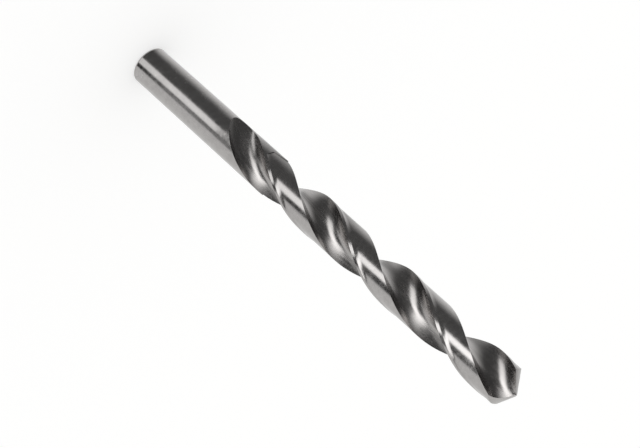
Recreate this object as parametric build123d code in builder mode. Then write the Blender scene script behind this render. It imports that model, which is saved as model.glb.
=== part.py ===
"""A jobber-length twist drill with a straight shank, standing on its shank end with the point up.

The drill is one piece of steel, so it is one solid, and it is made in the order in which a real one is
ground. A round blank gets two helical flutes, each ending where the flute wheel lifts out. The lands
behind the two cutting edges are relieved to a smaller diameter, which leaves a narrow margin. Two cones
are ground on the end for the 118 degree point, and a small wheel thins the web beside the chisel edge.

The frame's origin is the centre of the flat shank end, +Z runs up the axis to the point, and the two
lips lie along X. Sizes are in millimetres and angles in degrees.
"""

from build123d import *

import os
from math import acos, asin, cos, degrees, pi, radians, sin, sqrt, tan

os.makedirs("parts", exist_ok=True)

# --- driving dimensions ---------------------------------------------------------------------------
drill_diameter = 11.11  # over the margins at the point: 7/16 in
overall_length = 139.7  # chisel edge to shank end: 5 1/2 in
shank_diameter = 11.06  # a shade under the cutting diameter, as ground shanks are
shank_chamfer = 0.3
point_angle = 118.0  # included angle of the two lips
helix_angle = 30.0  # at the cutting diameter, right hand

web_at_point = 1.75  # thickness of the core between the two flutes
web_growth = 1.6 / 100.0  # added web thickness for each millimetre towards the shank
flute_back_radius = 4.45  # round back of the flute, from the web to the heel
full_flute_length = 94.6  # from the point to where the flute wheel starts to lift
flute_wheel_radius = 25.0  # of the path on which the wheel lifts out
flute_wheel_lean = 12.0  # the lifting wheel leans towards the heel

margin_width = 0.87
clearance_diameter = 10.69  # over the relieved lands
step_radius = 4.0  # hollow between the margin and the relieved land, left by the relief wheel's corner
relief_length = 90.4  # from the point to the square end of the relieved lands
relief_end_slope = 64.0  # the heel side of that end rises at this angle across the land
relief_end_corner = 34.0  # degrees round the land, from its leading edge to where the rise starts

chisel_slope = 61.0  # from the drill's axis, of the flank beside the chisel edge
chisel_relief = 18.0  # fall of the flank behind the lip, at the chisel edge
grinding_cone_angle = 40.0  # half angle of the cone that each flank is part of
grinding_cone_reach = 5.0  # from that cone's tip to the drill's axis
grinding_skew = 0.3  # sideways run of the cone's generator for each millimetre along the lip

gash_radius = 0.5  # small round notch that thins the web
gash_length = 1.8  # from the flank down into the flute
gash_web = 0.7  # web left beside the chisel edge
gash_offset = 0.4  # from the drill's axis to the notch, along the lip
gash_tilt = 32.0  # between the notch and the drill's axis
gash_skew = 0.35  # sideways run of the notch for each millimetre across the web

# --- sizes that follow ------------------------------------------------------------------------------
radius = drill_diameter / 2
shank_radius = shank_diameter / 2
clearance_radius = clearance_diameter / 2
core_radius = web_at_point / 2
outside = 1.15 * radius  # cutters reach this far out, clear of the blank
lead = pi * drill_diameter / tan(radians(helix_angle))  # one full turn of a flute
lip_fall = 1 / tan(radians(point_angle / 2))  # drop of the lip for each millimetre outwards
turn_step = 27.0  # degrees of helix between neighbouring sections
section_pitch = lead * turn_step / 360
cutter_top = overall_length + section_pitch


def face_angle(r):
    """Angle of the flute face at radius r, in a section square to the axis.

    Each lip is a straight line that passes the axis at half the web's thickness and drops as it runs
    out, and the flute face is that line carried along the helix.
    """
    along_lip = sqrt(max(r * r - core_radius * core_radius, 0))
    return degrees(asin(min(core_radius / r, 1))) + 360 * along_lip * lip_fall / lead


def polar(r, angle):
    """The point at radius r and this angle."""
    return (r * cos(radians(angle)), r * sin(radians(angle)))


def turn(z):
    """Angle of the flute at height z: a right-hand helix, with the lips along X at the point."""
    return 360 * (z - overall_length) / lead


def web_lift(z):
    """How far the thickening web has pushed the flute's floor outwards at height z."""
    return web_growth / 2 * (overall_length - z)


def wheel_lift(z):
    """How far the flute wheel has lifted at height z: nothing, then along an arc of its path."""
    past_full = max(overall_length - full_flute_length - z, 0) / cos(radians(helix_angle))
    return flute_wheel_radius - sqrt(flute_wheel_radius**2 - past_full**2)


def leading_edge(z):
    """Angle of the land's leading edge at height z, where the lifted face meets the full diameter."""
    face = radians(face_angle(radius))
    shift = asin(web_lift(z) * cos(face) / radius)
    return turn(z) + degrees(face + shift)


# --- flute: the space that the flute wheel sweeps ---------------------------------------------------
face_radii = [core_radius, 0.22 * radius, 0.42 * radius, 0.72 * radius, outside]
face_points = [polar(r, face_angle(r)) for r in face_radii]
face_start = Vector(1, 0)
face_finish = Vector(*face_points[-1]) - Vector(*polar(radius, face_angle(radius)))
back_centre = core_radius + flute_back_radius
# The back arc starts under the core and ends where it reaches the cutters' outer radius.
reach_cosine = (flute_back_radius**2 + back_centre**2 - outside**2) / (2 * flute_back_radius * back_centre)
back_reach = acos(reach_cosine)
back_end = (-flute_back_radius * sin(back_reach), back_centre - flute_back_radius * cos(back_reach))
flute_ceiling = 1.2 * radius
full_lift = radius - core_radius
run_out = cos(radians(helix_angle)) * sqrt(2 * flute_wheel_radius * full_lift - full_lift**2)
flute_bottom = overall_length - full_flute_length - run_out
flute_sections = round((cutter_top - flute_bottom) / section_pitch)

with BuildPart() as flute:
    for k in range(flute_sections + 1):
        z = cutter_top + (flute_bottom - cutter_top) * k / flute_sections
        lean = radians(flute_wheel_lean)
        shift = Vector(-wheel_lift(z) * sin(lean), web_lift(z) + wheel_lift(z) * cos(lean))
        floor = shift.rotate(Axis.Z, turn(z))
        with BuildSketch(Plane((floor.X, floor.Y, z), x_dir=polar(1, turn(z)), z_dir=(0, 0, 1))):
            with BuildLine():
                Spline(*face_points, tangents=[face_start, face_finish])
                Polyline(face_points[-1], (outside, flute_ceiling), (-outside, flute_ceiling), back_end)
                TangentArc(face_points[0], back_end, tangent=(-1, 0))
            make_face()
    loft()

# --- land relief: the space behind each margin ------------------------------------------------------
relief_angle = 112.0  # past the heel and into the next flute
relief_floor = clearance_radius - 0.01  # the hollow step runs this little below the relieved land


def step_reach(r):
    """Angle from the foot of the hollow step, where it is tangent to the land, to where it has risen
    to radius r."""
    height = r - relief_floor
    return degrees(sqrt(2 * step_radius * height - height**2) / radius)


rim_radius = 1.02 * radius  # the hollow is drawn on a little way past the margin
toe_angle = degrees(margin_width / radius) + step_reach(radius)
rim_angle = toe_angle - step_reach(rim_radius)
relief_toe = polar(relief_floor, -toe_angle)
relief_rim = polar(rim_radius, -rim_angle)
relief_end = overall_length - relief_length
relief_bottom = relief_end - section_pitch
relief_sections = round((cutter_top - relief_bottom) / section_pitch)
rise_angle = leading_edge(relief_end) - relief_end_corner
rise_across = Vector(*polar(1, rise_angle + 90))
rise_normal = rise_across * sin(radians(relief_end_slope)) + Vector(0, 0, 1) * cos(radians(relief_end_slope))
rise_start = Vector(*polar(radius, rise_angle)) + Vector(0, 0, relief_end)

with BuildPart() as land_relief:
    for k in range(relief_sections + 1):
        z = cutter_top + (relief_bottom - cutter_top) * k / relief_sections
        with BuildSketch(Plane((0, 0, z), x_dir=polar(1, leading_edge(z)), z_dir=(0, 0, 1))):
            with BuildLine():
                CenterArc((0, 0), relief_floor, -relief_angle, relief_angle - toe_angle)
                TangentArc(relief_toe, relief_rim, tangent=(-relief_toe[1], relief_toe[0]))
                Line(relief_rim, polar(outside, -rim_angle))
                CenterArc((0, 0), outside, -relief_angle, relief_angle - rim_angle)
                Line(polar(relief_floor, -relief_angle), polar(outside, -relief_angle))
            make_face()
    loft()
    split(bisect_by=Plane(rise_start, x_dir=polar(1, rise_angle), z_dir=rise_normal), keep=Keep.TOP)
    with BuildSketch(Plane.XY.offset(relief_end)):
        Circle(outside)
        Circle(clearance_radius, mode=Mode.SUBTRACT)
    extrude(amount=overall_length - relief_end, mode=Mode.INTERSECT)

# --- flank: the space outside one grinding cone, on the side of its own lip --------------------------
point = Vector(0, 0, overall_length)
flank_fall = 1 / tan(radians(chisel_slope))
relief_fall = tan(radians(chisel_relief))
flank_normal = Vector(flank_fall, -relief_fall, 1).normalized()
generator = Vector(1, -grinding_skew, -flank_fall - relief_fall * grinding_skew).normalized()
cone_half = radians(grinding_cone_angle)
cone_axis = generator * cos(cone_half) - flank_normal * sin(cone_half)
cone_tip = point - generator * grinding_cone_reach
cone_length = 4 * radius
cone_plane = Plane(cone_tip, x_dir=cone_axis, z_dir=cone_axis.cross(Vector(0, 1, 0)))
block_depth = 1.4 * radius  # below the point, more than the flanks reach
block_start = -0.25 * radius  # a little past the axis, so that the two flanks meet in the chisel edge

with BuildPart() as flank_space:
    with BuildSketch(Plane((block_start, 0, overall_length - block_depth))):
        Rectangle(1.5 * radius, 2.4 * radius, align=(Align.MIN, Align.CENTER))
    extrude(amount=block_depth + 0.4 * radius)
    with BuildSketch(cone_plane):
        with BuildLine():
            Polyline((0, 0), (cone_length, 0), (cone_length, cone_length * tan(cone_half)), close=True)
        make_face()
    revolve(axis=Axis(cone_tip, cone_axis), mode=Mode.SUBTRACT)

# --- gash: the round notch that thins the web beside the chisel edge ---------------------------------
gash_run = Vector(-gash_skew, 1, -1 / tan(radians(gash_tilt))).normalized()
gash_seat = Vector(gash_offset, gash_web / 2 + gash_radius, overall_length)

with BuildPart(Plane(gash_seat - gash_run * gash_length, z_dir=gash_run)) as gash:
    Cylinder(gash_radius, 2 * gash_length, align=(Align.CENTER, Align.CENTER, Align.MIN))

# --- the drill ------------------------------------------------------------------------------------
body_blank = overall_length + 0.3 * radius - flute_bottom  # the point is ground out of some extra stock
standing = (Align.CENTER, Align.CENTER, Align.MIN)

with BuildPart() as twist_drill:
    Cylinder(shank_radius, flute_bottom, align=standing)
    chamfer(twist_drill.faces().sort_by(Axis.Z)[0].edges(), shank_chamfer)
    with Locations((0, 0, flute_bottom)):
        Cone(shank_radius, radius, body_blank, align=standing)
    for cutter in (flute, land_relief, flank_space, gash):
        with PolarLocations(0, 2):
            add(cutter.part, mode=Mode.SUBTRACT)

twist_drill.part.label = "twist_drill"
export_step(twist_drill.part, "parts/twist_drill.step")
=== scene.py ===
# %% [markdown]
# # A twist drill
#
# This lesson dresses one piece of ground steel: a straight-shank twist drill that stands on the end of
# its shank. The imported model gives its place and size, and every measure below is in the same frame:
# the shank's end lies on the floor at the origin, and Z runs up the axis to the point.
#
# The model's own mesh is made for checks, so it is coarse. The drill is built again here as one fine
# surface from the same geometry, and takes that mesh's place. A drill is all helices, arcs and cones,
# so the whole of it can be written as formulas, and the edges stay as crisp as a grinder leaves them.

# %% Load the frame
import math

import bmesh
import bpy
import numpy as np
from mathutils import Matrix, Vector


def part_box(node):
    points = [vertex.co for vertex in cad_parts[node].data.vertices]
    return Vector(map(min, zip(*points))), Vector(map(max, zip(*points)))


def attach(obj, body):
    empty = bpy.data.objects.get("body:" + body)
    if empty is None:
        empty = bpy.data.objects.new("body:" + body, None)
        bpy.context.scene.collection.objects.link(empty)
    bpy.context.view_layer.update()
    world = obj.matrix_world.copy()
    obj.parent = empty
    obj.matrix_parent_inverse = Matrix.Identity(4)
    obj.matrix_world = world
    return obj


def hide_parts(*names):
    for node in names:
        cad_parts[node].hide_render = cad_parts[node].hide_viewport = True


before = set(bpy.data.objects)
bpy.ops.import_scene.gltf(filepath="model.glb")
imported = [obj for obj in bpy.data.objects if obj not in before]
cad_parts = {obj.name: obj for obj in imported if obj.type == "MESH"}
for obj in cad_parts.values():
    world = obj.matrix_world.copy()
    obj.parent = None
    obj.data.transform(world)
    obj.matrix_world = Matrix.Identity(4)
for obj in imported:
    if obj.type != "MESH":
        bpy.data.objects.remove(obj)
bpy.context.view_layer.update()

MM = 0.001  # the formulas are in millimetres, and Blender's unit here is the metre
lowest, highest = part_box("twist_drill")
overall_length = 139.7
packed_height = round(highest.z / MM, 2)
packed_width = round((highest.x - lowest.x) / MM, 2)
print("the packed drill is", packed_height, "mm tall and", packed_width, "mm wide")

# %% [markdown]
# ## The cutter's path
#
# A flute is ground by a shaped wheel that follows a helix. Its section, square to the axis, is one
# smooth curve in two parts, and a single number t says where on it we are, in millimetres:
#
# * t > 0 is the **face**. The lip of a drill is a straight line that passes the axis at half the web's
#   thickness. Carried along the helix, the lip sweeps out the face. So the point of the lip at distance
#   t, once it has dropped by the point's slope, has turned on by that drop's share of a full turn.
# * t < 0 is the **back**, a plain arc that starts under the web, where the face starts too.
#
# Towards the shank the web thickens, so the curve slides outwards. At the end the wheel lifts out along
# an arc of its own, leaning a little to the heel side.

# %% The flute's section
drill_radius = 5.555
shank_radius = 5.53
helix_angle = math.radians(30.0)
lip_angle = math.radians(59.0)  # between a lip and the axis: half the point's angle
lead = math.pi * 2 * drill_radius / math.tan(helix_angle)  # height of one full turn
lip_fall = 1 / math.tan(lip_angle)  # drop of the lip for each millimetre outwards
web_radius = 0.875  # half the thickness of the core at the point
web_growth = 0.008  # outward slide of the flute for each millimetre below the point
back_radius = 4.45  # of the flute's round back
full_flute_length = 94.6  # from the point down to where the flute wheel starts to lift
wheel_path_radius = 25.0  # of the arc on which the wheel lifts out
wheel_lean = math.radians(12.0)


def flute_curve(t):
    """The flute's section as x and y. For t > 0 the lip's point (t, web radius), turned about the axis
    by the angle that the helix makes over the lip's drop. For t < 0 an arc of the back's radius, with
    its lowest point at the web."""
    face = np.maximum(t, 0)
    face_turn = 2 * np.pi / lead * lip_fall * face
    bend = np.minimum(t, 0) / back_radius
    x = face * np.cos(face_turn) - web_radius * np.sin(face_turn) + back_radius * np.sin(bend)
    y = face * np.sin(face_turn) + web_radius * np.cos(face_turn) + back_radius * (1 - np.cos(bend))
    return x, y


# %% [markdown]
# The helix turns that section as the height changes. Two things slide it outwards: the web's growth and,
# near the shank, the wheel's lift. The second flute is the first one turned by 180 degrees.

# %% How the section turns and slides


def turned(z):
    """Angle of the flute at height z: the helix, with the lips along X at the point."""
    return 2 * np.pi * (z - overall_length) / lead


def flute_slide(z):
    """How far the section has slid at height z, as x and y: the web's growth straight outwards, and the
    wheel's lift along its leaning arc."""
    past_full = np.maximum(overall_length - full_flute_length - z, 0) / math.cos(helix_angle)
    lift = wheel_path_radius - np.sqrt(np.maximum(wheel_path_radius**2 - past_full**2, 0))
    return -lift * math.sin(wheel_lean), web_growth * (overall_length - z) + lift * math.cos(wheel_lean)


def slid_curve(t, z):
    """The flute's curve at height z, before the helix turns it: the section plus its slide."""
    x, y = flute_curve(t)
    slide_x, slide_y = flute_slide(z)
    return x + slide_x, y + slide_y


def other_flute(t, z):
    """The second flute's curve at height z: turned with the helix and by another 180 degrees."""
    x, y = slid_curve(t, z)
    cosine, sine = np.cos(turned(z)), np.sin(turned(z))
    return sine * y - cosine * x, -sine * x - cosine * y


def body_radius(z):
    """The blank's radius: the shank's, then growing evenly to the full one at the point."""
    grown = np.clip((z - flute_end) / (overall_length - flute_end), 0, 1)
    return shank_radius + (drill_radius - shank_radius) * grown


# %% [markdown]
# ## Where the flute breaks the surface
#
# The two edges of a flute are where its curve crosses the outside: the cutting edge of one land on the
# face's side, and the heel of the other land on the back's side. There is no neat formula for that
# crossing, so it is looked up. The curve's distance from the axis is tabled for many t at many heights,
# and the first and the last t that lie inside are the heel and the edge.
#
# The flute's own end is found first, by halving: it is the height at which the lifting curve just
# leaves the blank.

# %% The flute's end
clearance_radius = 5.345  # of the relieved lands
samples = np.linspace(-12.0, 9.0, 2400)  # t from well outside the heel to well outside the edge


def distance(t, z):
    """Distance of the flute's curve from the axis at height z."""
    return np.hypot(*slid_curve(t, z))


uncut, flute_end = 25.0, 45.0  # heights that have the flute's end between them
for _ in range(50):
    middle = (uncut + flute_end) / 2
    if distance(samples, middle).min() < shank_radius:
        flute_end = middle
    else:
        uncut = middle

print("the flutes end", round(flute_end, 2), "mm above the shank's end")

# %% Where the curve crosses a radius
table_top = overall_length + 1
table_z = flute_end + (table_top - flute_end) * np.linspace(0, 1, 1500) ** 2  # closer near the flute's end
table_reach = distance(samples, table_z[:, None])


def crossings(limit):
    """First and last t inside the limit radius at each tabled height, linear between two samples."""
    rows = np.arange(len(table_z))
    over = table_reach - limit[:, None]
    inside = over < 0
    inside[rows, over.argmin(1)] = True
    first = inside.argmax(1)
    last = len(samples) - 1 - inside[:, ::-1].argmax(1)
    spacing = samples[1] - samples[0]
    outer, inner = over[rows, first - 1], np.minimum(over[rows, first], -1e-9)
    heel = samples[first - 1] + spacing * outer / (outer - inner)
    inner, outer = np.minimum(over[rows, last], -1e-9), over[rows, last + 1]
    edge = samples[last] + spacing * inner / (inner - outer)
    return heel, edge


heel_full, edge_full = crossings(body_radius(table_z))
heel_relieved, _ = crossings(np.full_like(table_z, clearance_radius))


# %% [markdown]
# A land lies between two such crossings, so what it needs is their angle. The angle is tabled in the
# flute's own frame, which turns with the helix, because there it hardly changes with height.

# %% The edges' angles


def table_angle(t):
    """Angle of the flute's curve point t at each tabled height, in the flute's own turned frame."""
    x, y = slid_curve(t, table_z)
    return np.arctan2(y, x)


edge_angle_table = table_angle(edge_full)
heel_angle_table = {False: table_angle(heel_full), True: table_angle(heel_relieved)}  # by relieved or not
near_point = -9  # a tabled height just below the point
land_span = 180 + math.degrees(edge_angle_table[near_point] - heel_angle_table[True][near_point])
print("the land spans", round(land_span, 1), "degrees")

# %% [markdown]
# ## One ring of the drill
#
# Looking down from the point and going round clockwise, half a ring is a land and a flute:
# the narrow **margin** at full diameter behind the cutting edge, a small hollow **step** down, the
# relieved **land**, then the flute's back and its face up to the other cutting edge. The other half is
# the same half turned by 180 degrees.
#
# Each stretch has a fixed number of columns, so rings at any height join up into one grid. The drill's
# edges are then always on a column and stay sharp.

# %% Columns
margin_columns, step_columns, land_columns, curve_columns = 4, 8, 26, 24
outer_columns = margin_columns + step_columns + land_columns
margin_width = 0.87
step_radius = 4.0  # hollow of the step, left by the round corner of the relief wheel
step_floor = clearance_radius - 0.01  # the hollow runs this little below the relieved land
step_start = math.acos(1 - (drill_radius - step_floor) / step_radius)
step_finish = math.acos(1 - (clearance_radius - step_floor) / step_radius)
step_foot = (margin_width + step_radius * math.sin(step_start)) / drill_radius  # angle behind the edge

step_bend = np.linspace(step_start, step_finish, step_columns, endpoint=False)
step_angle = step_foot - step_radius * np.sin(step_bend) / drill_radius
step_height = step_floor + step_radius * (1 - np.cos(step_bend))
land_start = step_foot - step_radius * math.sin(step_finish) / drill_radius
margin_angle = np.linspace(0, step_angle[0], margin_columns, endpoint=False)

behind_edge = np.concatenate([margin_angle, step_angle, np.full(land_columns, land_start)])
along_land = np.arange(land_columns) / land_columns
land_share = np.concatenate([np.zeros(margin_columns + step_columns), along_land])
on_margin, on_land = np.full(margin_columns, np.nan), np.full(land_columns, clearance_radius)
relieved_height = np.concatenate([on_margin, step_height, on_land])
curve_share = np.arange(curve_columns) / curve_columns
print("half a ring has", outer_columns, "columns outside and", 2 * curve_columns, "in the flute")

# %% [markdown]
# A land column keeps its angle behind the cutting edge. A flute column keeps its share of the curve,
# from the heel to a middle that stays near the web, and from that middle to the cutting edge. Close to
# the point the middle moves over to the chisel edge's corner, so that a column ends on that corner.

# %% Half a ring
middle_share = 0.3  # of the way from heel to edge, where the flute is too shallow to reach the web
heel_change = (40.0, 46.0)  # heights between which the inner columns change to the relieved heel
corner_change = 134.0  # height above which the middle moves to the chisel edge's corner


def smooth(x):
    """Soft step from 0 to 1: 3x squared less 2x cubed, held flat outside."""
    x = np.clip(x, 0, 1)
    return x * x * (3 - 2 * x)


corner_t, corner_z = 0.0, overall_length  # the chisel edge's corner on the flute's curve, found below


def half_ring(z, relieved):
    """Half a ring as x and y. The last axis of z runs over the columns. Land columns lie at an angle
    behind the cutting edge and at the body's or the relieved radius. Flute columns divide the curve
    from the heel to the middle and from the middle to the cutting edge."""
    land_z, curve_z = z[..., :outer_columns], z[..., outer_columns:]
    edge = np.interp(land_z, table_z, edge_angle_table)
    heel = np.interp(land_z, table_z, heel_angle_table[relieved]) - np.pi
    behind = behind_edge + land_share * (edge - heel - land_start)
    full = body_radius(land_z)
    radius = np.where(np.isnan(relieved_height), full, relieved_height) if relieved else full
    angle = turned(land_z) + edge - behind
    land_x, land_y = radius * np.cos(angle), radius * np.sin(angle)

    full_heel_t = np.interp(curve_z, table_z, heel_full)
    relieved_heel_t = np.interp(curve_z, table_z, heel_relieved)
    changed = smooth((curve_z - heel_change[0]) / (heel_change[1] - heel_change[0]))
    heel_t = full_heel_t + changed * (relieved_heel_t - full_heel_t)
    edge_t = np.interp(curve_z, table_z, edge_full)
    middle_t = np.maximum(0, full_heel_t + middle_share * (edge_t - full_heel_t))
    middle_t = middle_t + corner_t * smooth((curve_z - corner_change) / (corner_z - corner_change))

    start, middle = heel_t[..., :curve_columns], middle_t[..., :curve_columns]
    back_t = start + curve_share * (middle - start)
    back_t[..., 0] = (relieved_heel_t if relieved else full_heel_t)[..., 0]
    middle, finish = middle_t[..., curve_columns:], edge_t[..., curve_columns:]
    face_t = middle + curve_share * (finish - middle)
    curve_x, curve_y = other_flute(np.concatenate([back_t, face_t], -1), curve_z)
    return np.concatenate([land_x, curve_x], -1), np.concatenate([land_y, curve_y], -1)


# %% [markdown]
# ## The point
#
# Each flank is ground by swinging the drill in front of a wheel, so it is part of a cone. The cone's tip
# lies off to the side of the drill's axis. Its surface falls along the lip at 59 degrees, and away
# behind the lip, which gives the lip its clearance. The two cones meet in the chisel edge.
#
# The height of a cone over a place x, y comes from its definition: the ray from the tip to the point
# makes the half angle with the cone's axis. Squared, that is a quadratic in the height.

# %% The flanks' cones
flank_fall = 1 / math.tan(math.radians(61.0))  # of the flank along the lip, beside the chisel edge
relief_fall = math.tan(math.radians(18.0))  # of the flank behind the lip
skew = 0.3  # sideways run of the cone's straight line for each millimetre along the lip
cone_reach = 5.0  # from the cone's tip to the drill's axis
flank_normal = Vector((flank_fall, -relief_fall, 1)).normalized()
generator = Vector((1, -skew, -flank_fall - relief_fall * skew)).normalized()
cone_half = math.radians(40.0)
cone_axis = generator * math.cos(cone_half) - flank_normal * math.sin(cone_half)
cone_tip = -cone_reach * generator


def cone_height(x, y):
    """Height of the first flank's cone. With d the ray from the tip, a the axis and c the cosine of the
    half angle, (d.a) squared = c squared times d squared, and the upper root is the ground face."""
    dx, dy = x - cone_tip.x, y - cone_tip.y
    along = dx * cone_axis.x + dy * cone_axis.y
    c2 = math.cos(cone_half) ** 2
    a = cone_axis.z**2 - c2
    b = 2 * along * cone_axis.z
    c = along**2 - c2 * (dx**2 + dy**2)
    root = np.sqrt(np.maximum(b * b - 4 * a * c, 0))
    roots = np.stack([(-b + root) / (2 * a), (-b - root) / (2 * a)])
    roots = np.where(along + cone_axis.z * roots > 0, roots, -np.inf)
    return overall_length + cone_tip.z + roots.max(0)


settling_steps = 40


def drop_to_flank(z, place, side):
    """Lets z sink until the column's own place at that height lies on the cone. side is 1 for the
    first flank and -1 for the second."""
    for _ in range(settling_steps):
        x, y = place(z)
        z = cone_height(side * x, side * y)
    return z


# %% [markdown]
# The corner where a lip meets the chisel edge lies on the flute's curve and on both cones at once. Trial
# points of the curve sink to each cone, and the corner is where the two heights agree.

# %% The chisel edge's corner
trial_t = np.linspace(0.2, 0.9, 400)


def trial_place(z):
    """Place of the trial points of the second flute's curve at height z."""
    return other_flute(trial_t, z)


from_top = np.full(len(trial_t), overall_length)
first = drop_to_flank(from_top, trial_place, 1)
second = drop_to_flank(from_top, trial_place, -1)
gap = first - second if first[0] < second[0] else second - first
corner_t = float(np.interp(0, gap, trial_t))
corner_z = float(np.interp(corner_t, trial_t, first))
print("the chisel edge is", round(2 * math.hypot(corner_t, web_radius), 2), "mm long")

# %% [markdown]
# ## Rows
#
# Rows of the grid run round the drill. They are level along most of the body, and crowd together where
# the flute fades out, since its outline turns fastest there. Near the point they bend until the last
# row lies on the flanks. Round the relieved lands' end they bend too, for that end is square at the
# margin and climbs towards the heel.

# %% Heights of the last row
columns = outer_columns + 2 * curve_columns
is_face = np.arange(columns) >= outer_columns + curve_columns

tip_z = np.full(columns, overall_length - 2.0)
for _ in range(settling_steps):
    x, y = half_ring(tip_z, True)
    tip_z = np.where(is_face, cone_height(-x, -y), cone_height(x, y))

print("the flanks drop by", round(float(overall_length - tip_z.min()), 2), "mm to their lowest corner")

# %% [markdown]
# The square end of the relieved lands is a level line up to a corner, and a leaning plane beyond it. On
# the flute the climb fades away, so that the rows are level again at the next cutting edge.

# %% The end of the relieved lands
relief_end = 49.3  # height at which the relieved lands end
relief_corner = math.radians(34.0)  # round the land, from its edge to where that end starts to climb
relief_slope = math.tan(math.radians(64.0))
edge_at_end = turned(relief_end) + np.interp(relief_end, table_z, edge_angle_table)


def end_rise(radius):
    """Climb of the relieved land's end at each column: none up to the corner, then a plane that leans
    by the slope. Its height depends on the column's angle and the angle on the height, so it is
    solved in small steps."""
    z = np.full(columns, relief_end)
    for _ in range(60):
        x, y = half_ring(z, True)
        past = edge_at_end - relief_corner - np.arctan2(y, x)
        past = (past + np.pi) % (2 * np.pi) - np.pi
        z = 0.5 * z + 0.5 * (relief_end + np.maximum(radius * np.sin(past), 0) * relief_slope)
    rise = z - relief_end
    round_flute = np.arange(2 * curve_columns) / (2 * curve_columns)
    rise[outer_columns:] = rise[outer_columns] * (1 - smooth(round_flute))
    return rise


upper_rise = end_rise(clearance_radius)
lower_rise = np.where(np.arange(columns) <= outer_columns, end_rise(drill_radius), upper_rise)

print("the relieved lands' end climbs by up to", round(float(upper_rise.max()), 2), "mm")

# %% Heights of every row and column
run_out_height, crowding = 9.0, 1.7
run_out_rows = flute_end + run_out_height * np.linspace(0, 1, 48) ** crowding
plain_rows = np.linspace(run_out_rows[-1], relief_end, 18)[1:]
fluted_rows = np.linspace(relief_end, overall_length, 200)
end_bend = 12.0  # rows within this height of the relieved lands' end bend with it
tip_bend = 127.0  # rows above this height bend towards the flanks


def bent(rows, rise):
    """Heights of whole rows, bent towards the relieved land's end and the flanks."""
    near_end = np.maximum(1 - np.abs(rows - relief_end) / end_bend, 0)
    near_tip = smooth((rows - tip_bend) / (overall_length - tip_bend))
    return rows[:, None] + near_end[:, None] * rise + near_tip[:, None] * (tip_z - overall_length)


lower_z = bent(np.concatenate([run_out_rows, plain_rows]), lower_rise)
upper_z = bent(fluted_rows, upper_rise)
print("the grid has", len(lower_z) + len(upper_z), "rows of", 2 * columns, "columns")

# %% [markdown]
# ## The grid and its ends
#
# Below the flutes the same columns run straight down the shank to a small chamfer. There the columns of
# the flute have shrunk to a single point, and doubled points are merged at the end.
#
# A flank has four sides: the lip, the outside of the land, the back of the other flute and the chisel
# edge. Points between the sides come from the sides by blending, which is called a Coons patch, and
# their height from the cone.

# %% The body's grid


def full_ring(z, relieved):
    """A whole ring as points: the half and the same half turned by 180 degrees."""
    x, y = half_ring(z, relieved)
    half = np.stack([x, y, z], -1)
    return np.concatenate([half, half * np.array([-1, -1, 1])], -2)


lower_rings = full_ring(lower_z, False)
upper_rings = full_ring(upper_z, True)
start_ring = lower_rings[0]
start_ring = start_ring * np.array([1, 1, 0]) / np.linalg.norm(start_ring[:, :2], axis=1)[:, None]
chamfer = 0.3
shank_heights = np.concatenate([[0.0, chamfer], np.linspace(4, 28, 7)])
shank_radii = np.where(shank_heights > 0, shank_radius, shank_radius - chamfer)
shank_rings = start_ring * shank_radii[:, None, None] + shank_heights[:, None, None] * np.array([0, 0, 1])
rings = np.concatenate([shank_rings, lower_rings, upper_rings])
ring_count, ring_size = rings.shape[:2]

# %% Its quads
row_index, column_index = np.meshgrid(np.arange(ring_count - 1), np.arange(ring_size), indexing="ij")
next_column = (column_index + 1) % ring_size
low_row, high_row = row_index * ring_size, (row_index + 1) * ring_size
quads = np.stack([low_row + next_column, low_row + column_index,
                  high_row + column_index, high_row + next_column], -1)
in_flute = (column_index % columns >= outer_columns) & (row_index >= len(shank_rings))
GROUND, FLUTE, POINT = 0, 1, 2
quad_finish = np.where(in_flute, FLUTE, GROUND)
print("the body has", quad_finish.size, "quads, and", int(in_flute.sum()), "of them lie in the flutes")

# %% The sides of a flank
top = rings[-1][:columns]
land_side = np.concatenate([top[:outer_columns], top[outer_columns:outer_columns + 1]])
back_side = top[outer_columns:outer_columns + curve_columns + 1][::-1]
other_lip = np.concatenate([top[outer_columns + curve_columns:], top[:1] * np.array([-1, -1, 1])])
lip_side = other_lip * np.array([-1, -1, 1])

# %% [markdown]
# The chisel edge is where the two cones have the same height. Points spread evenly from corner to corner
# are shifted sideways until they do, by Newton's method with a slope measured over a small nudge.

# %% The chisel edge
nudge = 1e-4
across = np.linspace(1, -1, outer_columns + 1)
chisel_x, chisel_y = lip_side[0, 0] * across, lip_side[0, 1] * across
normal_x, normal_y = -lip_side[0, 1], lip_side[0, 0]
shift = np.zeros_like(across)
for _ in range(30):
    x, y = chisel_x + shift * normal_x, chisel_y + shift * normal_y
    gap = cone_height(x, y) - cone_height(-x, -y)
    nudged_x, nudged_y = x + nudge * normal_x, y + nudge * normal_y
    slope = (cone_height(nudged_x, nudged_y) - cone_height(-nudged_x, -nudged_y) - gap) / nudge
    shift = shift - gap / slope
shift = (shift - shift[::-1]) / 2
chisel_side = np.stack([chisel_x + shift * normal_x, chisel_y + shift * normal_y], -1)

# %% The flanks' grids
u = np.linspace(0, 1, curve_columns + 1)[:, None, None]
v = np.linspace(0, 1, outer_columns + 1)[None, :, None]
lip, back = lip_side[:, None, :2], back_side[:, None, :2]
chisel, land = chisel_side[None], land_side[None, :, :2]
corners = ((1 - u) * (1 - v) * lip[0] + u * (1 - v) * lip[-1] + (1 - u) * v * back[0] + u * v * back[-1])
patch = (1 - v) * lip + v * back + (1 - u) * chisel + u * land - corners
patch = np.concatenate([patch, cone_height(patch[..., 0], patch[..., 1])[..., None]], -1)
patches = np.stack([patch, patch * np.array([-1, -1, 1])])

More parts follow.
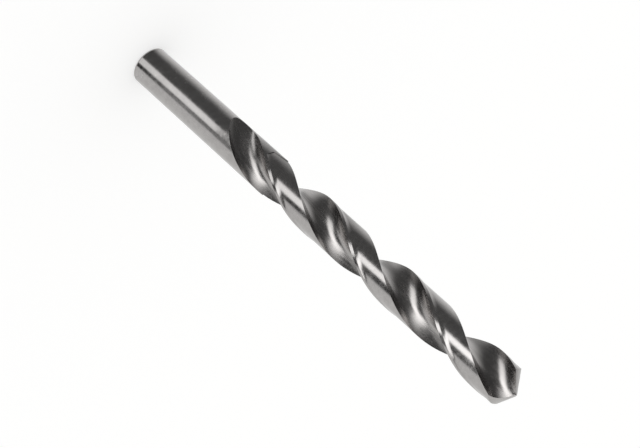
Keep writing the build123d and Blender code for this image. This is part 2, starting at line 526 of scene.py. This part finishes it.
p, q = np.meshgrid(np.arange(curve_columns), np.arange(outer_columns), indexing="ij")
patch_width = outer_columns + 1
patch_quads = np.stack([p * patch_width + q, p * patch_width + q + 1,
                        (p + 1) * patch_width + q + 1, (p + 1) * patch_width + q], -1).reshape(-1, 4)
patch_size = patch.shape[0] * patch.shape[1]

# %% One closed surface
end_centre = np.zeros((1, 3))
vertices = np.concatenate([rings.reshape(-1, 3), patches.reshape(-1, 3), end_centre])
first_patch = ring_count * ring_size
around = np.arange(ring_size)
fan = np.stack([np.full(ring_size, len(vertices) - 1), around, (around + 1) % ring_size], -1)
faces = [*quads.reshape(-1, 4).tolist(), *(patch_quads + first_patch).tolist(),
         *(patch_quads + first_patch + patch_size).tolist(), *fan.tolist()]
finishes = np.concatenate([quad_finish.ravel(), np.full(2 * len(patch_quads) + len(fan), POINT)])

drill_mesh = bpy.data.meshes.new("ground_drill")
drill_mesh.from_pydata(vertices * MM, [], faces)
for finish in ("ground steel", "flute steel", "point steel"):
    drill_mesh.materials.append(bpy.data.materials.new(finish))
drill_mesh.polygons.foreach_set("material_index", finishes.astype(np.int32))
drill = bpy.data.objects.new("ground_drill", drill_mesh)
bpy.context.scene.collection.objects.link(drill)

# %% Merge what is doubled
merge_distance = 0.0003 * MM
surface = bmesh.new()
surface.from_mesh(drill_mesh)
bmesh.ops.remove_doubles(surface, verts=surface.verts, dist=merge_distance)
bmesh.ops.dissolve_degenerate(surface, edges=surface.edges, dist=merge_distance)
open_edges = sum(1 for edge in surface.edges if len(edge.link_faces) != 2)
print("the surface has", len(surface.faces), "faces,", open_edges, "open edges and",
      round(surface.calc_volume() / MM**3), "cubic millimetres")
surface.to_mesh(drill_mesh)
surface.free()

# %% [markdown]
# ## The gash
#
# A chisel edge as long as the web would only rub, so a thin wheel is run in beside it from each flute.
# That leaves a small round notch. Two thin rods cut it here with an exact boolean.

# %% Thin the web
gash_radius, gash_half_length = 0.5, 1.8
gash_tilt = math.radians(32.0)  # between the notch and the drill's axis
gash_skew = 0.35  # sideways run of the notch for each millimetre across the web
gash_offset = 0.4  # from the axis to the notch, along the lip
gash_web = 0.7  # web left beside the chisel edge
gash_run = Vector((-gash_skew, 1, -1 / math.tan(gash_tilt))).normalized()
gash_seat = Vector((gash_offset, gash_web / 2 + gash_radius, overall_length))
sharp_from = math.radians(14.0)  # edges that bend more than this stay sharp


def rod(centre, direction, radius, half_length, turn):
    """A closed round rod of 64 sides along a direction, turned about Z."""
    mesh = bpy.data.meshes.new("gash_rod")
    shape = bmesh.new()
    bmesh.ops.create_cone(shape, cap_ends=True, segments=64, radius1=radius * MM,
                          radius2=radius * MM, depth=2 * half_length * MM)
    stand = Vector((0, 0, 1)).rotation_difference(direction).to_matrix().to_4x4()
    place = Matrix.Rotation(turn, 4, "Z") @ Matrix.Translation(centre * MM) @ stand
    bmesh.ops.transform(shape, matrix=place, verts=shape.verts)
    shape.to_mesh(mesh)
    shape.free()
    return bpy.data.objects.new("gash_rod", mesh)


for turn in (0.0, math.pi):
    cutter = rod(gash_seat, gash_run, gash_radius, gash_half_length, turn)
    bpy.context.scene.collection.objects.link(cutter)
    cut = drill.modifiers.new("gash", "BOOLEAN")
    cut.operation = "DIFFERENCE"
    cut.solver = "EXACT"
    cut.object = cutter
    bpy.context.view_layer.update()
    cut_drill = drill.evaluated_get(bpy.context.evaluated_depsgraph_get())
    result = bpy.data.meshes.new_from_object(cut_drill)
    drill.modifiers.clear()
    drill.data = result
    bpy.data.objects.remove(cutter)
drill_mesh = drill.data
drill_mesh.name = "ground_drill"
drill_mesh.shade_smooth()
drill_mesh.set_sharp_from_angle(angle=sharp_from)
print("after the gash it has", len(drill_mesh.polygons), "faces")

# %% [markdown]
# ## Placing the piece
#
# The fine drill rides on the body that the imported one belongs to, and takes its place.

# %% Ride and replace
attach(drill, "root")
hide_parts("twist_drill")

# %% [markdown]
# ## Wires
#
# Shader arithmetic gets long when each node is made by hand. This small class stands for one socket.
# Adding, multiplying and so on make the Math nodes, and one method makes any other node.

# %% A socket that can do arithmetic


class Wire:
    """One output socket in a node tree. Arithmetic with numbers or other wires adds Math nodes."""

    def __init__(self, tree, socket=None):
        self.tree = tree
        self.socket = socket

    def into(self, socket):
        self.tree.links.new(self.socket, socket)

    def node(self, kind, settings, inputs, output=0):
        """Makes a node: its settings first, then its inputs by name or number, as values or wires."""
        made = self.tree.nodes.new(kind)
        for name, value in settings.items():
            setattr(made, name, value)
        for key, value in inputs.items():
            if isinstance(value, Wire):
                value.into(made.inputs[key])
            else:
                made.inputs[key].default_value = value
        return Wire(self.tree, made.outputs[output])

    def math(self, operation, *values):
        return self.node("ShaderNodeMath", {"operation": operation}, dict(enumerate(values)))

    def __add__(self, other):
        return self.math("ADD", self, other)

    def __radd__(self, other):
        return self.math("ADD", other, self)

    def __sub__(self, other):
        return self.math("SUBTRACT", self, other)

    def __rsub__(self, other):
        return self.math("SUBTRACT", other, self)

    def __mul__(self, other):
        return self.math("MULTIPLY", self, other)

    def __rmul__(self, other):
        return self.math("MULTIPLY", other, self)

    def tint(self, dark, light):
        """A colour between two, as this value goes from 0 to 1."""
        return self.node("ShaderNodeMix", {"data_type": "RGBA"}, {0: self, 6: dark, 7: light}, 2)


# %% [markdown]
# ## Three finishes
#
# A drill shows three kinds of grinding. The shank and the lands are ground round, which leaves a fine
# satin. The flutes are ground along the helix and polished, so their marks run along it. The flanks and
# the end face are ground last and left plain.
#
# The marks are noise whose height coordinate is scaled. A small scale draws the marks out, as in the
# flutes, and one a little above 1 leaves them longer round the shank than along it. For the flutes the
# coordinates are first turned back with the helix, so that what runs straight up in them runs along the
# flute on the drill.
#
# The base colours are darker than bright steel usually is. The room and floor are pale all round, and
# lighter steel would look much paler in them. Under other light this steel looks rather dark.

# %% Steel
broad_scale = 260.0  # of the soft patches that all three finishes share
colour_swing = 0.2  # the colour goes this much of itself darker and lighter
roughness_swing = 0.25


def steel(name, albedo, metal, roughness, marks, mark_scale, stretch, depth, twist):
    """Ground steel. marks is how far the finish's roughness and colour vary, stretch the scale of the
    marks' height coordinate, depth the height of the grinding marks in metres, and twist the turn per
    metre that the marks follow."""
    material = bpy.data.materials[name]
    material.use_nodes = True
    shader = material.node_tree.nodes["Principled BSDF"]
    here = Wire(material.node_tree).node("ShaderNodeTexCoord", {}, {}, 3)
    height = here.node("ShaderNodeSeparateXYZ", {}, {0: here}, 2)
    turn_back = {"Vector": here, "Angle": height * -twist}
    turned_back = here.node("ShaderNodeVectorRotate", {"rotation_type": "Z_AXIS"}, turn_back)
    draw_out = {0: turned_back, 1: (1, 1, stretch)}
    along = turned_back.node("ShaderNodeVectorMath", {"operation": "MULTIPLY"}, draw_out)
    fine_noise = {"Vector": along, "Scale": mark_scale, "Detail": 2.0, "Roughness": 0.5}
    grind = along.node("ShaderNodeTexNoise", {}, fine_noise)
    broad_noise = {"Vector": here, "Scale": broad_scale, "Detail": 3.0, "Roughness": 0.55}
    broad = here.node("ShaderNodeTexNoise", {}, broad_noise)
    patchy = (grind + broad) * 0.5
    shade = (patchy - 0.5) * marks + 0.5
    darker = tuple((1 - colour_swing) * part for part in albedo) + (1.0,)
    lighter = tuple((1 + colour_swing) * part for part in albedo) + (1.0,)
    shade.tint(darker, lighter).into(shader.inputs["Base Color"])
    (roughness + (patchy - 0.5) * roughness_swing * marks).into(shader.inputs["Roughness"])
    shader.inputs["Metallic"].default_value = metal
    bump = grind.node("ShaderNodeBump", {}, {"Height": grind, "Distance": depth, "Strength": 1.0})
    bump.into(shader.inputs["Normal"])


helix_twist = 2 * math.pi / lead / MM
steel("ground steel", albedo=(0.387, 0.375, 0.368), metal=0.96, roughness=0.22, marks=1.5,
      mark_scale=800.0, stretch=1.6, depth=0.0000015, twist=0.0)
# The flute steel's base colour is a little darker than the ground steel's. That is painted shade for the
# hollows of the flutes.
steel("flute steel", albedo=(0.378, 0.365, 0.357), metal=1.0, roughness=0.25, marks=1.3,
      mark_scale=1800.0, stretch=0.03, depth=0.000003, twist=helix_twist)
steel("point steel", albedo=(0.40, 0.388, 0.38), metal=0.97, roughness=0.34, marks=0.7,
      mark_scale=2600.0, stretch=0.3, depth=0.000006, twist=0.0)
print("the drill has the finishes", [material.name for material in drill.data.materials])

# %% [markdown]
# ## Camera
#
# The camera looks down at the standing drill from well above it, and is rolled so that the point lies
# at the lower right. It is given by where it looks, from how far, and its roll about that line.

# %% Camera
heading, drop_angle, roll = (math.radians(angle) for angle in (28.841, 27.174, -132.081))
level = math.cos(drop_angle)
looking = Vector((math.sin(heading) * level, math.cos(heading) * level, -math.sin(drop_angle)))
aim = Vector((0.937, -0.516, 71.763)) * MM
camera_distance = 0.38049
focal_length = 84.805
level_right = looking.cross(Vector((0, 0, 1))).normalized()
level_up = level_right.cross(looking)
up = level_up * math.cos(roll) + level_right * math.sin(roll)
right = looking.cross(up)
camera_data = bpy.data.cameras.new("camera")
camera = bpy.data.objects.new("camera", camera_data)
bpy.context.scene.collection.objects.link(camera)
facing = Matrix((right, up, -looking)).transposed().to_4x4()
camera.matrix_world = Matrix.Translation(aim - looking * camera_distance) @ facing
camera_data.lens = focal_length
camera_data.clip_start = 0.01
bpy.context.scene.camera = camera
print("the camera is", round(camera.location.z, 3), "m above the floor")

# %% [markdown]
# ## The studio
#
# Bright steel has almost no colour of its own: it looks like what stands around it. The room is plain
# and pale, and so is the floor. Mirror rays meet both just as the camera does, so wherever nothing
# stands in the way the steel shows that same background.
#
# The light itself stays plain: the room gives a little less than 1, so a colour renders about as it is
# written. The white comes from Light Path. Camera, glossy and transmission rays see the room at exactly
# 1, and the floor gets a glow of its own for the same three, so no extra light falls on the drill. The
# floor keeps its plain colour for the light that bounces about, and so the drill's shadow stays on it.

# %% The room and the floor
room_light = 0.9  # what lights the drill and the floor
white = 1.0  # what the camera, mirror and transmission rays see
floor_grey = 0.6
floor_reach = 30  # metres each way, so that its far edge isn't seen


def sees_background(tree):
    """1 for a camera, glossy or transmission ray, and 0 for every other ray."""
    path = tree.nodes.new("ShaderNodeLightPath")
    is_camera = Wire(tree, path.outputs["Is Camera Ray"])
    is_glossy = Wire(tree, path.outputs["Is Glossy Ray"])
    is_transmission = Wire(tree, path.outputs["Is Transmission Ray"])
    return is_camera + is_glossy + is_transmission


world = bpy.data.worlds.new("pale_room")
bpy.context.scene.world = world
world.use_nodes = True
background = world.node_tree.nodes["Background"]
background.inputs["Color"].default_value = (1.0, 1.0, 0.99, 1)
room_strength = sees_background(world.node_tree) * (white - room_light) + room_light
room_strength.into(background.inputs["Strength"])
bpy.context.scene.view_settings.view_transform = "Standard"

floor_mesh = bpy.data.meshes.new("floor")
floor_corners = [(x * floor_reach, y * floor_reach, 0) for x, y in ((-1, -1), (1, -1), (1, 1), (-1, 1))]
floor_mesh.from_pydata(floor_corners, [], [(0, 1, 2, 3)])
floor = bpy.data.objects.new("floor", floor_mesh)
bpy.context.scene.collection.objects.link(floor)
pale = bpy.data.materials.new("pale floor")
pale.use_nodes = True
floor_shader = pale.node_tree.nodes["Principled BSDF"]
floor_shader.inputs["Base Color"].default_value = (floor_grey, floor_grey, floor_grey, 1)
floor_shader.inputs["Roughness"].default_value = 0.9
floor_shader.inputs["Specular IOR Level"].default_value = 0.0
floor_shader.inputs["Emission Color"].default_value = (1, 1, 1, 1)
floor_glow = sees_background(pale.node_tree) * (white - floor_grey * room_light)
floor_glow.into(floor_shader.inputs["Emission Strength"])
floor_mesh.materials.append(pale)
print("the floor glows by", round(white - floor_grey * room_light, 2), "on top of the light that it gets")

# %% [markdown]
# ## The cards
#
# In a studio, the bands on bright steel are made with cards. Black paper lies on the table along the
# camera's side of the drill, a flat light panel lies on it, and a black strip beyond the panel cuts the
# bright band off hard. A large dark panel curves over from behind the camera and carries one slanting
# strip light, which runs down the flutes.
#
# They are sheets that stand in the scene. Each is a grid, and its tone is stored at its points: how
# bright the sheet is, where the open room is 1. They are kept out of the camera's sight and cast no
# light about, so only the steel's mirror rays meet them. Where a card stands, the steel shows the card
# and not the pale room or floor behind it.

# %% Sheets with a tone


def rising(value, low, high):
    """Soft step of a value, from 0 at low to 1 at high."""
    return smooth((value - low) / (high - low))


def between(value, low, high, edge):
    """1 between low and high, fading over an edge's width at each."""
    return smooth((value - low) / edge + 0.5) * (1 - smooth((value - high) / edge + 0.5))


def laid(base, top, share):
    """The base's tone where share is 0, going over to the top's where share is 1."""
    return base + (top - base) * share


def around_drill(compass, reach, height):
    """Points at a compass angle in degrees, a reach from the drill's axis and a height, in metres."""
    angle = np.radians(compass)
    return np.stack([reach * np.cos(angle), reach * np.sin(angle), height], -1)


# %% [markdown]
# A card's material is only a glow, with the stored tone as its strength.

# %% One card


def card(name, points, tone):
    """A sheet from a grid of points, in metres, that glows by the tone at each of them."""
    rows, width = tone.shape
    i, j = np.meshgrid(np.arange(rows - 1), np.arange(width - 1), indexing="ij")
    here = i * width + j
    sheet_quads = np.stack([here, here + 1, here + width + 1, here + width], -1)
    mesh = bpy.data.meshes.new(name)
    mesh.from_pydata(points.reshape(-1, 3), [], sheet_quads.reshape(-1, 4).tolist())
    stored_tone = mesh.attributes.new("tone", "FLOAT", "POINT")
    stored_tone.data.foreach_set("value", tone.ravel().astype(np.float32))
    paper = bpy.data.materials.new(name)
    paper.use_nodes = True
    nodes = paper.node_tree.nodes
    nodes.remove(nodes["Principled BSDF"])
    glow = nodes.new("ShaderNodeEmission")
    strength = Wire(paper.node_tree).node("ShaderNodeAttribute", {"attribute_name": "tone"}, {}, 2)
    strength.into(glow.inputs["Strength"])
    Wire(paper.node_tree, glow.outputs[0]).into(nodes["Material Output"].inputs["Surface"])
    mesh.materials.append(paper)
    sheet = bpy.data.objects.new(name, mesh)
    bpy.context.scene.collection.objects.link(sheet)
    sheet.visible_camera = False
    sheet.visible_diffuse = False
    sheet.visible_shadow = False
    print(name, "has tones from", round(float(tone.min()), 2), "to", round(float(tone.max()), 2))


# %% [markdown]
# A mirror ray starts on the drill's side, not on its axis. Far out that makes no difference, but a card
# close to the shank has to be turned in towards it for the bands to stay straight down to the foot. A
# ray that leaves the side at compass angle a lands, at reach r, where the angle from the camera's side
# has shrunk by half the drill's radius over r.
#
# The lower a ray starts, the nearer it lands, so a band's reach on the table goes with its height on the
# drill.
#
# The black paper comes first, fading in from the open side. A grey mat lies under its faded side, at the
# reach where the steep rays of the flutes land.

# %% Black paper and a grey mat
camera_side = 241.3  # compass angle of the camera
black, open_tone = 0.1, 1.0
paper_fades = (108, 172)  # compass angles between which the paper goes from open to black
card_lift = 0.0003  # the sheets lie this much above the floor


def turned_in(compass, reach):
    """Compass angle of the mirror ray that lands at this compass angle and reach."""
    return camera_side + (compass - camera_side) / (1 - drill_radius * MM / (2 * reach))


table_compass, table_distance = np.linspace(84, 310, 270), np.geomspace(0.0058, 1.45, 110)
compass, reach = np.meshgrid(table_compass, table_distance, indexing="ij")
ray = turned_in(compass, reach)
paper_share = rising(ray, *paper_fades)
table_tone = laid(open_tone, black, paper_share)
mat_tone = laid(0.5, black, paper_share)
mat_place = rising(reach, 0.06, 0.09) * (1 - rising(reach, 0.12, 0.20)) * (ray < 180)
table_tone = laid(table_tone, mat_tone, mat_place)
print("black paper covers", round(100 * float((table_tone < 0.2).mean())), "percent of the table's grid")

# %% [markdown]
# The light panel is brighter further out. Its far edge and the strip lie a little askew, which makes the
# band lean over the higher lands. It leaves out the stretch beside the shank where an upright card
# stands instead, because a panel there would also light the flutes from below.

# %% The light panel
panel_from, panel_to, panel_edge = 237.5, 272.5, 9
far_tone = 2.9
light_at = [0.01, 0.02, 0.08, 0.12, 0.16, 0.21, 0.30, 0.36]
light_there = [1.35, 1.6, 1.85, 2.0, 2.1, 2.2, 2.5, far_tone]
panel_tone = np.interp(np.log(reach), np.log(light_at), light_there)
askew = 7 * rising(reach, 0.07, 0.29)
beside_shank = 1 - rising(reach, 0.018, 0.022)
beyond_shank = rising(reach, 0.066, 0.086)
panel_place = between(ray, panel_from, panel_to - askew, panel_edge) * (beside_shank + beyond_shank)
table_tone = laid(table_tone, panel_tone, panel_place)
far_end = rising(reach, 0.42, 0.67)
table_tone = laid(table_tone, far_tone, between(ray, 240, 292, 12) * far_end)
print("the light panel's tone goes from", light_there[0], "to", far_tone)

# %% [markdown]
# The black strip is broader further out, and it softens up the shank. Last, the whole layer fades into
# the open floor at its two sides.

# %% The black strip
strip_from, strip_to, strip_edge = 276.5, 292, 5
open_from, open_to, open_edge = 88, 295.5, 5
broader = 8 * rising(reach, 0.09, 0.21)
strip_place = between(ray, strip_from - askew, strip_to + broader - askew, strip_edge) * (1 - far_end)
softened = rising(reach, 0.012, 0.028) * (1 - rising(reach, 0.066, 0.086))
strip_tone = laid(0.05, 0.35, softened)
table_tone = laid(table_tone, strip_tone, strip_place)
inside = between(ray, open_from, open_to + broader - askew / 2, open_edge)
table_tone = laid(open_tone, table_tone, inside)
card("table_cards", around_drill(compass, reach, np.full_like(reach, card_lift)), table_tone)

# %% [markdown]
# The upright card beside the shank fills in the band where the panel is left out.

# %% A small light card beside the shank
shank_card_reach = 0.02
shank_card_light = 1.6
stand_from, fade_from, stand_to = 0.0004, 0.0225, 0.0285
card_compass, card_stand = np.linspace(232, 274, 60), np.linspace(stand_from, stand_to, 30)
compass, stand = np.meshgrid(card_compass, card_stand, indexing="ij")
lit = between(turned_in(compass, shank_card_reach), panel_from, panel_to, panel_edge)
shank_tone = laid(black, shank_card_light, lit * (1 - rising(stand, fade_from, stand_to)))
card("shank_card", around_drill(compass, shank_card_reach, stand), shank_tone)

# %% [markdown]
# The dark panel is part of a dome. Its strip light slants: it moves round as it climbs, and it fades out
# before the top. A grey stretch of the dome beside the panel stands for a side wall.

# %% The dark panel and its strip light
dome_radius = 1.5
wall_tone = 0.48
dome_compass, dome_climb = np.linspace(86, 338, 260), np.linspace(0, 86, 120)
compass, climb = np.meshgrid(dome_compass, dome_climb, indexing="ij")
dome_tone = laid(0.21, 0.08, rising(compass, 105, 150))
dome_tone = laid(white, dome_tone, between(compass, 94, 291, 12))
dome_tone = laid(dome_tone, wall_tone, between(compass, 288, 332, 10))
strip_centre = 262 - 2.3 * (climb - 2)
strip_light = laid(2.8, 0.9, rising(climb, 6, 28))
strip_shape = between(compass - strip_centre, -20, 22, 14) * (1 - rising(climb, 24, 36))
dome_tone = laid(dome_tone, strip_light, strip_shape)
climb_angle = np.radians(climb)
dome_points = around_drill(compass, dome_radius * np.cos(climb_angle), dome_radius * np.sin(climb_angle))
card("dark_panel", dome_points, dome_tone)
